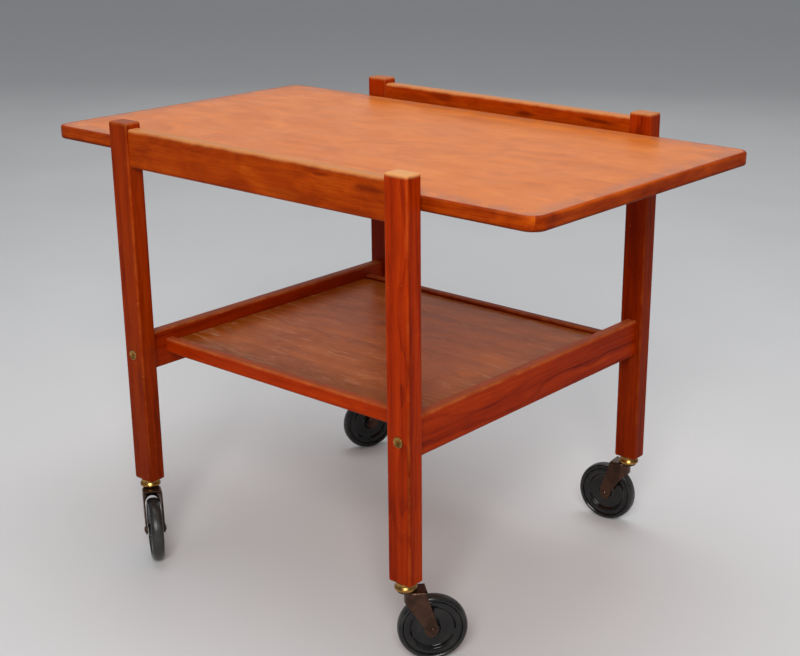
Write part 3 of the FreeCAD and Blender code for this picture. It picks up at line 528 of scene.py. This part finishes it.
# the left cross rail and the far lip carry a low tone factor as painted shadow
CROSS_RAILS = ((31, "cross_rail_left", 0.68), (32, "cross_rail_right", 0.92))
CROSS_WOOD = dict(streak=0.42, figure=0.14, rings=0.16, wear=0.35, crest=0.16, painted_lower_shade=0.4)
SHELF_LIPS = ((41, "shelf_lip_near", 1.06), (42, "shelf_lip_far", 0.5))
LIP_WOOD = dict(streak=0.34, figure=0.18, rings=0.12, wear=0.35, painted_lower_shade=0.4)
# strength of the painted highlight on the lips' upper edges, scaled by each lip's tone factor
LIP_PAINTED_HIGHLIGHT = 0.16
TOP_WOOD = dict(spacing=16, streak=0.18, figure=0.36, rings=0.03, fibre=0.14, wear=0.0, corner=14.0,
                roughness=0.34, sheen=0.16, breadth=2.2, rim=rgb(0.44, 0.15, 0.080))
# the lipping gets a painted shadow along its lower edge
LIPPING_WOOD = dict(streak=0.46, figure=0.36, rings=0.12, wear=0.14, corner=18.0, painted_lower_shade=0.85)
# the shelf panel gets a painted shadow along its four edges
SHELF_WOOD = dict(spacing=18, streak=0.20, figure=0.34, rings=0.03, fibre=0.16, wear=0.0,
                  roughness=0.32, scuffs=0.60, sheen=0.13, breadth=2.0, painted_border_shade=rgb(0.20, 0.052, 0.002))


def dress(node, material):
    """Give a CAD node a material in every slot it has."""
    slots = frame["nodes"][node].data.materials
    if not slots:
        slots.append(material)
    for i in range(len(slots)):
        slots[i] = material


def dress_board(node, grain, tones, seed, **settings):
    dress(node, wood(node, grain, tones, seed, **settings))


def dress_boards():
    for seed, tag in enumerate(CASTERS, start=11):
        # each leg gets its painted shading, a painted highlight on its top and a painted shadow below a
        # height
        red, green, crest, shade = LEG_PAINTED_SHADING[tag]
        tones = toned(LEG_TONES, red, green)
        dress_board("leg_" + tag, "Z", tones, seed, crest=crest, shade=shade, **LEG_WOOD)
    for seed, node, shade, figure in SIDE_RAILS:
        dress_board(node, "X", toned(RAIL_TONES, shade), seed, smudges=figure, **RAIL_WOOD)
    for seed, node, shade in CROSS_RAILS:
        dress_board(node, "Y", toned(LEG_TONES, shade), seed, **CROSS_WOOD)
    for seed, node, shade in SHELF_LIPS:
        dress_board(node, "X", toned(LEG_TONES, shade), seed, crest=LIP_PAINTED_HIGHLIGHT * shade, **LIP_WOOD)
    for seed, node in ((51, "bearer_near"), (52, "bearer_far")):
        dress_board(node, "X", LEG_TONES, seed, wear=0.2, roughness=0.5)
    dress_board("table_top", "X", TOP_TONES, 61, **TOP_WOOD)
    dress_board("table_top_lipping", "mitred", LIPPING_TONES, 62, **LIPPING_WOOD)
    dress_board("lower_shelf_panel", "X", SHELF_TONES, 63, **SHELF_WOOD)
    for seed, node in ((71, "frame_dowels"), (72, "shelf_lip_dowels")):
        dress_board(node, "X", SHELF_TONES, seed, wear=0.0, roughness=0.6)


# ---------------------------------------------------------------- shapes

ROUND_STEPS = 5
STRAIGHT = math.radians(176)
LONGEST_ROUND = 0.49
ON_AXIS = 1e-7
# edges sharper than these stay crisp
SHARP = math.radians(40)
FORK_SHARP = math.radians(60)
KEY_SHARP = math.radians(30)
TURN_STEPS = 128
PIN_STEPS = 48
HEAD_STEPS = 64
SHANK_STEPS = 32


def add_piece(name, mesh, material, body, slot, *nodes):
    """Put a mesh piece in the scene, on its body, in place of CAD nodes."""
    piece = bpy.data.objects.new(name, mesh)
    bpy.context.scene.collection.objects.link(piece)
    mesh.materials.clear()
    mesh.materials.append(material)
    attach(piece, body)
    if nodes:
        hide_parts(*nodes)
    return piece


def in_metres(outline):
    """An outline given in millimetres."""
    return [tuple(value * MM for value in point) for point in outline]


def rounded(points):
    """Outline through (across, up, radius) points with each corner turned into an arc of that radius."""
    result = []
    for i, (x, y, radius) in enumerate(points):
        here = Vector((x, y))
        if radius <= 0 or i in (0, len(points) - 1):
            result.append(here)
            continue
        before = Vector(points[i - 1][:2]) - here
        after = Vector(points[i + 1][:2]) - here
        turn = before.angle(after)
        if turn > STRAIGHT:
            result.append(here)
            continue
        longest = min(before.length, after.length) * LONGEST_ROUND
        reach = min(radius / math.tan(turn / 2), longest)
        start = here + before.normalized() * reach
        end = here + after.normalized() * reach
        for step in range(ROUND_STEPS + 1):
            t = step / ROUND_STEPS
            result.append(start * (1 - t) ** 2 + here * 2 * t * (1 - t) + end * t * t)
    return result


def circle(radius, height, matrix, steps):
    """Points round the local Z axis."""
    points = []
    for i in range(steps):
        angle = 2 * math.pi * i / steps
        points.append(matrix @ Vector((radius * math.cos(angle), radius * math.sin(angle), height)))
    return points


def lathe(name, outline, matrix, closed=False, steps=TURN_STEPS):
    """Turn an outline of (radius, height) about the local Z axis; matrix carries it to its place."""
    shape = bmesh.new()
    rings = []
    for radius, height in outline:
        if radius < ON_AXIS:
            points = [matrix @ Vector((0, 0, height))]
        else:
            points = circle(radius, height, matrix, steps)
        rings.append([shape.verts.new(point) for point in points])
    pairs = list(zip(rings, rings[1:]))
    if closed:
        pairs.append((rings[-1], rings[0]))
    for first, second in pairs:
        for i in range(steps):
            j = i + 1
            corners = (first[i % len(first)], first[j % len(first)],
                       second[j % len(second)], second[i % len(second)])
            corners = list(dict.fromkeys(corners))
            if len(corners) > 2:
                shape.faces.new(corners)
    return to_mesh(name, shape)


def to_mesh(name, shape, sharp=SHARP):
    """Finish a bmesh: outward faces, smooth except over sharp edges."""
    bmesh.ops.recalc_face_normals(shape, faces=shape.faces)
    for face in shape.faces:
        face.smooth = True
    for edge in shape.edges:
        if len(edge.link_faces) == 2 and edge.calc_face_angle() > sharp:
            edge.smooth = False
    mesh = bpy.data.meshes.new(name)
    shape.to_mesh(mesh)
    shape.free()
    return mesh


def joined(name, meshes):
    """One mesh from several, each kept as its own shell."""
    whole = bmesh.new()
    for mesh in meshes:
        whole.from_mesh(mesh)
        bpy.data.meshes.remove(mesh)
    result = bpy.data.meshes.new(name)
    whole.to_mesh(result)
    whole.free()
    return result


# ---------------------------------------------------------------- casters

FORK_SHEET = 2.0 * MM
FORK_HALF = 12.2 * MM
FORK_NOSE = 10.0 * MM
FORK_BEND = 2.6 * MM
FORK_LEAN = 0.3
FORK_EDGE = 0.4 * MM
FORK_EDGE_ANGLE = math.radians(50)
TIP_LEVEL = 1.0 * MM
TIP_DROP = 8.3 * MM
TIP_MIDDLE = -2.1 * MM
TIP_STEPS = 12
SIDE_STEPS = 4
BEND_STEPS = 8
ROOF_STEPS = 6
FORK_COLUMNS = 25
WELD = 0.01 * MM
# side outline of the fork above the tip: height over the axle, rear edge, front edge; x from the axle
FORK_SIDE = ((1.0, 5.6, -9.5), (3.5, 5.4, -10.0), (6.8, 4.7, -11.6), (12.0, 3.2, -15.3),
             (19.3, 1.0, -19.8), (26.0, -1.1, -24.6), (30.0, -2.3, -28.2), (32.0, -2.9, -30.3),
             (33.5, -3.3, -31.9), (36.0, -4.1, -31.9), (42.0, -5.9, -31.9), (48.8, -7.9, -31.9))

# turned outlines in millimetres: distance from the axis, height, radius of the rounded corner
CUP_BORE = 4.3
SEAT = ((4.0, 0.02, 0), (10.2, 0.02, 0.7), (10.2, -1.7, 0.6), (7.6, -3.4, 1.0), (4.0, -3.4, 0))
AXLE_HEAD = ((3.0, 10.0, 0), (3.0, 12.2, 0), (4.2, 12.22, 0.15), (4.2, 12.7, 0.5), (3.2, 13.6, 0.8),
             (1.5, 14.0, 0.6), (0.8, 13.75, 0.3), (0, 13.7, 0))
AXLE_PIN = ((2.99, -12.4), (2.99, 12.4))
DISC_HALF = ((4.6, 9.3, 0), (6.9, 9.3, 0.5), (7.7, 8.4, 0.7), (8.8, 4.0, 2.0), (12.0, 2.3, 3.0),
             (20.0, 1.6, 6.0), (24.0, 2.1, 1.6), (26.4, 4.9, 1.2), (28.6, 5.8, 2.0), (31.6, 6.0, 2.0),
             (33.2, 5.6, 0.7), (33.5, 4.6, 0))
TYRE_HALF = ((33.1, 4.4, 0), (33.7, 5.2, 0.3), (34.0, 6.4, 0.6), (35.6, 7.9, 1.6), (38.4, 6.6, 3.0),
             (39.8, 3.4, 3.4), (40.0, 0.4, 0.8), (39.98, 0.1, 0))


class Caster:
    """Places of one caster's axes, read from the joints, and its local frame with the wheel along +X."""

    def __init__(self, tag):
        self.tag = tag
        swivel = Vector(JOINTS["swivel_" + tag]["pos_m"])
        spin = Vector(JOINTS["wheel_spin_" + tag]["pos_m"])
        reach = spin - swivel
        self.trail = math.hypot(reach.x, reach.y)
        self.axle_height = spin.z
        self.wheel_centre = spin
        self.base = Matrix.Translation((swivel.x, swivel.y, 0)) @ Matrix.Rotation(
            math.atan2(reach.y, reach.x), 4, "Z")
        across = Matrix.Rotation(-math.pi / 2, 4, "X")
        self.wheel = self.base @ Matrix.Translation((self.trail, 0, self.axle_height)) @ across
        self.fork_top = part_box("caster_fork_" + tag)[1].z
        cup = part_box("bearing_cup_" + tag)
        self.cup_top, self.cup_low = cup[1].z, cup[0].z
        self.cup_radius = (cup[1].y - cup[0].y) / 2


def make_cup(caster):
    """Turned brass bearing cup: a neck under the leg that flares to a round rim over the fork."""
    top, low, wide = caster.cup_top / MM, caster.cup_low / MM, caster.cup_radius / MM
    outline = (
        (CUP_BORE, top, 0),
        (wide - 2.2, top, 0.3),
        (wide - 2.2, top - 1.4, 0.8),
        (wide - 1.7, top - 3.4, 1.6),
        (wide - 0.5, top - 5.3, 1.0),
        (wide, top - 6.4, 0.9),
        (wide, low + 1.5, 0.9),
        (wide - 0.5, low + 0.4, 0.6),
        (wide - 1.1, low, 0.4),
        (wide - 2.5, low, 0.4),
        (wide - 2.5, low + 3.0, 1.0),
        (wide - 3.7, top - 2.0, 0.8),
        (CUP_BORE, top - 2.0, 0))
    mesh = lathe("cup", rounded(in_metres(outline)), caster.base, closed=True)
    add_piece("cup_" + caster.tag, mesh, BRASS, "frame", "brass", "bearing_cup_" + caster.tag)


def tip_rows(base):
    """Rows of the rounded tips: height, inset of the plan outline, rear end, front end."""
    rows = []
    _, rear, front = (value * MM for value in FORK_SIDE[0])
    for i in range(1, TIP_STEPS):
        angle = math.pi / 2 * i / TIP_STEPS
        spread = math.sin(angle)
        rows.append((base + TIP_LEVEL - TIP_DROP * math.cos(angle), 0.0,
                     TIP_MIDDLE + (rear - TIP_MIDDLE) * spread,
                     TIP_MIDDLE + (front - TIP_MIDDLE) * spread))
    return rows


def arm_rows(base, highest):
    """Rows of the flat arms between the tips and the bend."""
    rows = []
    for low, high in zip(FORK_SIDE, FORK_SIDE[1:]):
        for i in range(SIDE_STEPS):
            t = i / SIDE_STEPS
            height, rear, front = (a * (1 - t) + b * t for a, b in zip(low, high))
            if base + height * MM < highest:
                rows.append((base + height * MM, 0.0, rear * MM, front * MM))
    return rows


def roof_rows(top):
    """Rows of the bend and of the roof, which run in to the middle."""
    rows = []
    rear, front = (value * MM for value in FORK_SIDE[-1][1:])
    for i in range(BEND_STEPS + 1):
        angle = math.pi / 2 * i / BEND_STEPS
        lift = FORK_BEND * (1 - math.sin(angle))
        rows.append((top - lift, FORK_BEND * (1 - math.cos(angle)), rear + lift * FORK_LEAN, front))
    for i in range(1, ROOF_STEPS + 1):
        inset = FORK_BEND + (FORK_HALF - FORK_BEND) * i / ROOF_STEPS
        rows.append((top, inset, rear, front))
    return rows


def fork_path(rear, front, inset):
    """Half of one row in plan: forward along the arm, then round the nose to its front end."""
    radius = FORK_HALF - inset
    reach = max(-1.0, min(1.0, (FORK_NOSE - front) / FORK_HALF))
    sweep = math.asin(reach) if front < FORK_NOSE else 0.0
    bow = sweep * FORK_HALF
    straight = rear - max(front, FORK_NOSE)
    points = []
    for i in range(FORK_COLUMNS):
        along = (straight + bow) * i / (FORK_COLUMNS - 1)
        if along <= straight:
            points.append((rear - along, radius))
        else:
            angle = (along - straight) / FORK_HALF
            points.append((FORK_NOSE - radius * math.sin(angle), radius * math.cos(angle)))
    return points


def fork_sheet(caster):
    """Both halves of the fork as one open sheet: roof, round nose and arms."""
    base, top = caster.axle_height, caster.fork_top
    rows = tip_rows(base) + arm_rows(base, top - FORK_BEND) + roof_rows(top)
    shape = bmesh.new()
    for side in (-1, 1):
        grid = []
        for height, inset, rear, front in rows:
            path = fork_path(rear + caster.trail, front + caster.trail, inset)
            grid.append([shape.verts.new(caster.base @ Vector((x, y * side, height))) for x, y in path])
        for first, second in zip(grid, grid[1:]):
            for i in range(FORK_COLUMNS - 1):
                shape.faces.new((first[i], first[i + 1], second[i + 1], second[i]))
    bmesh.ops.remove_doubles(shape, verts=shape.verts, dist=WELD)
    bmesh.ops.dissolve_degenerate(shape, edges=shape.edges, dist=WELD)
    return to_mesh("fork", shape, FORK_SHARP)


def make_fork(caster):
    """Pressed steel fork: one bent sheet with softened edges, and the seat of the bearing."""
    piece = add_piece("fork_" + caster.tag, fork_sheet(caster), BRONZE, "swivel_" + caster.tag,
                      "bronzed_steel", "caster_fork_" + caster.tag)
    thicken = piece.modifiers.new("sheet", "SOLIDIFY")
    thicken.thickness = FORK_SHEET
    thicken.offset = -1
    soften = piece.modifiers.new("edges", "BEVEL")
    soften.width = FORK_EDGE
    soften.segments = 2
    soften.limit_method = "ANGLE"
    soften.angle_limit = FORK_EDGE_ANGLE
    seat = [(x, y + caster.fork_top, radius) for x, y, radius in in_metres(SEAT)]
    mesh = lathe("seat", rounded(seat), caster.base, closed=True)
    add_piece("seat_" + caster.tag, mesh, BRONZE, "swivel_" + caster.tag, "bronzed_steel")


def make_axle(caster):
    """Riveted axle: a plain pin with a domed head and a washer against each arm."""
    meshes = []
    for angle in (math.pi, 0):
        turn = caster.wheel @ Matrix.Rotation(angle, 4, "X")
        meshes.append(lathe("head", rounded(in_metres(AXLE_HEAD)), turn, steps=PIN_STEPS))
    meshes.append(lathe("pin", in_metres(AXLE_PIN), caster.wheel, steps=PIN_STEPS))
    add_piece("axle_" + caster.tag, joined("axle", meshes), BRONZE, "swivel_" + caster.tag,
              "bronzed_steel", "caster_axle_" + caster.tag)


def turned_ring(name, section, caster):
    """A ring turned about the wheel's axis from the upper half of its section."""
    half = rounded(in_metres(section))
    whole = half + [Vector((p.x, -p.y)) for p in reversed(half)]
    return lathe(name, whole, caster.wheel, closed=True)


def make_wheel(caster, plastic, rubber):
    """Glossy moulded disc with a deep dish, a step and a bead, and a round-shouldered tyre."""
    tag = caster.tag
    add_piece("disc_" + tag, turned_ring("disc", DISC_HALF, caster), plastic,
              "wheel_" + tag, "black_plastic", "wheel_disc_" + tag)
    add_piece("tyre_" + tag, turned_ring("tyre", TYRE_HALF, caster), rubber,
              "wheel_" + tag, "black_rubber", "wheel_tyre_" + tag)


def make_casters():
    for tag in CASTERS:
        caster = Caster(tag)
        centre = caster.wheel_centre
        plastic = moulded("black_plastic_" + tag, *PLASTIC_TONES, 0.05, centre, shine=0.42)
        rubber = moulded("black_rubber_" + tag, *RUBBER_TONES, 0.20, centre,
                         tread=caster.axle_height / MM, shine=0.45)
        make_cup(caster)
        make_fork(caster)
        make_axle(caster)
        make_wheel(caster, plastic, rubber)
        dress("caster_socket_" + tag, ZINC)
        dress("caster_stem_" + tag, ZINC)
        dress("bearing_balls_" + tag, BALL_STEEL)
        dress("wheel_bush_" + tag, NYLON)


# ---------------------------------------------------------------- fasteners

BOLT_HEAD = ((2.9, -3.0, 0), (6.2, -2.7, 0.2), (6.5, -1.4, 0.4), (6.2, -0.1, 0.6), (5.4, -0.05, 0.3),
             (4.7, -0.5, 0.4), (3.6, -0.95, 0.5), (2.7, -1.05, 0))
BOLT_SHANK = ((2.99, -2.6), (2.99, -46), (2.4, -47), (0, -47))
KEY_SIDES = 6
KEY_ACROSS = 4.0 * MM
KEY_DEPTH = 1.6 * MM
KEY_CHAMFER = 0.15 * MM
KEY_POINT = 1.25


def key_socket(radius, level, matrix):
    """Hexagonal socket: a chamfer in from a round edge, flat walls and a drilled point."""
    shape = bmesh.new()
    sector = math.pi / KEY_SIDES
    inner, floor = [], []
    rim = [shape.verts.new(point) for point in circle(radius, level, matrix, HEAD_STEPS)]
    for i in range(HEAD_STEPS):
        angle = 2 * math.pi * i / HEAD_STEPS
        from_flat = (angle + sector) % (2 * sector) - sector
        reach = KEY_ACROSS / 2 / math.cos(from_flat)
        x, y = reach * math.cos(angle), reach * math.sin(angle)
        inner.append(shape.verts.new(matrix @ Vector((x, y, level - KEY_CHAMFER))))
        floor.append(shape.verts.new(matrix @ Vector((x, y, level - KEY_DEPTH))))
    centre = shape.verts.new(matrix @ Vector((0, 0, level - KEY_DEPTH * KEY_POINT)))
    for i in range(HEAD_STEPS):
        j = (i + 1) % HEAD_STEPS
        shape.faces.new((rim[i], rim[j], inner[j], inner[i]))
        shape.faces.new((inner[i], inner[j], floor[j], floor[i]))
        shape.faces.new((floor[i], floor[j], centre))
    return to_mesh("socket", shape, KEY_SHARP)


def make_bolts():
    """Brass bolts in the legs: a rounded rim, a dished face and a hexagonal socket."""
    low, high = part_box("cross_rail_bolts")
    level = (low.z + high.z) / 2
    head = rounded(in_metres(BOLT_HEAD))
    meshes = []
    for rail in ("cross_rail_left", "cross_rail_right"):
        inner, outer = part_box(rail)
        x = (inner.x + outer.x) / 2
        for side, face in ((-1, low.y), (1, high.y)):
            turn = Matrix.Translation((x, face, level)) @ Matrix.Rotation(-side * math.pi / 2, 4, "X")
            meshes.append(lathe("head", head, turn, steps=HEAD_STEPS))
            meshes.append(key_socket(*head[-1], turn))
            meshes.append(lathe("shank", in_metres(BOLT_SHANK), turn, steps=SHANK_STEPS))
    add_piece("bolts_brass", joined("bolts", meshes), BRASS, "frame", "brass", "cross_rail_bolts")


def dress_fasteners():
    for node in ("barrel_nuts", "top_screws", "bearer_screws"):
        dress(node, ZINC)


# ---------------------------------------------------------------- studio

CAMERA_PLACE = (1.1691, -1.3108, 0.8741)
CAMERA_YAW = 38.929
CAMERA_PITCH = -19.724
CAMERA_ROLL = 0.294
CAMERA_LENS = 65.38
CAMERA_SHIFT = (-0.075, 0.0423)
FLOOR_HALF = 30.0
FLOOR_TONES = (rgb(0.74, 0.745, 0.76), rgb(0.79, 0.79, 0.795))
FLOOR_ROUGHNESS = (0.3, 0.7, 0.45, 0.6)
SKY_TONE = rgb(0.93, 0.96, 1.0)
SKY_STRENGTH = 0.25
# name, place, target, size, power in watts, colour
LIGHTS = (("window", (1.7, -2.2, 2.0), (0, 0, 0.35), (1.2, 1.2), 62, (1.0, 0.98, 0.95)),
          ("overhead", (-0.2, 0.4, 2.7), (0, 0, 0.4), (2.0, 2.0), 30, (1.0, 1.0, 1.0)),
          ("back_wall", (-1.9, 2.5, 1.7), (0, 0, 0.5), (3.4, 1.8), 9, (1.0, 0.99, 0.97)))


def make_camera():
    data = bpy.data.cameras.new("camera")
    data.lens = CAMERA_LENS
    data.shift_x, data.shift_y = CAMERA_SHIFT
    camera = bpy.data.objects.new("camera", data)
    yaw, pitch, roll = (math.radians(angle) for angle in (CAMERA_YAW, CAMERA_PITCH, CAMERA_ROLL))
    turn = Matrix.Rotation(yaw, 4, "Z") @ Matrix.Rotation(math.pi / 2 + pitch, 4, "X")
    turn = turn @ Matrix.Rotation(roll, 4, "Z")
    camera.matrix_world = Matrix.Translation(CAMERA_PLACE) @ turn
    bpy.context.scene.collection.objects.link(camera)
    bpy.context.scene.camera = camera


def make_floor():
    g = Graph("floor_paint", Specular_IOR_Level=0.3)
    cloud = g.noise(g.place(), 0.004, detail=4)
    colour = g.mix(cloud, *FLOOR_TONES)
    material = g.finish(Base_Color=colour, Roughness=g.band(cloud, *FLOOR_ROUGHNESS))
    corners = [(x * FLOOR_HALF, y * FLOOR_HALF, 0) for x, y in ((-1, -1), (1, -1), (1, 1), (-1, 1))]
    mesh = bpy.data.meshes.new("floor")
    mesh.from_pydata(corners, [], [(0, 1, 2, 3)])
    mesh.materials.append(material)
    floor = bpy.data.objects.new("floor", mesh)
    bpy.context.scene.collection.objects.link(floor)


def make_light(name, place, target, size, power, colour):
    data = bpy.data.lights.new(name, "AREA")
    data.shape = "RECTANGLE"
    data.size, data.size_y = size
    data.energy = power
    data.color = colour
    light = bpy.data.objects.new(name, data)
    aim = (Vector(target) - Vector(place)).to_track_quat("-Z", "Y")
    light.matrix_world = Matrix.Translation(place) @ aim.to_matrix().to_4x4()
    bpy.context.scene.collection.objects.link(light)


def make_lights():
    world = bpy.data.worlds.new("studio")
    world.use_nodes = True
    sky = world.node_tree.nodes["Background"]
    sky.inputs["Color"].default_value = SKY_TONE
    sky.inputs["Strength"].default_value = SKY_STRENGTH
    bpy.context.scene.world = world
    for settings in LIGHTS:
        make_light(*settings)
    view = bpy.context.scene.view_settings
    view.view_transform = "Standard"
    view.look = "None"


make_camera()
make_floor()
make_lights()
dress_boards()
make_casters()
make_bolts()
dress_fasteners()
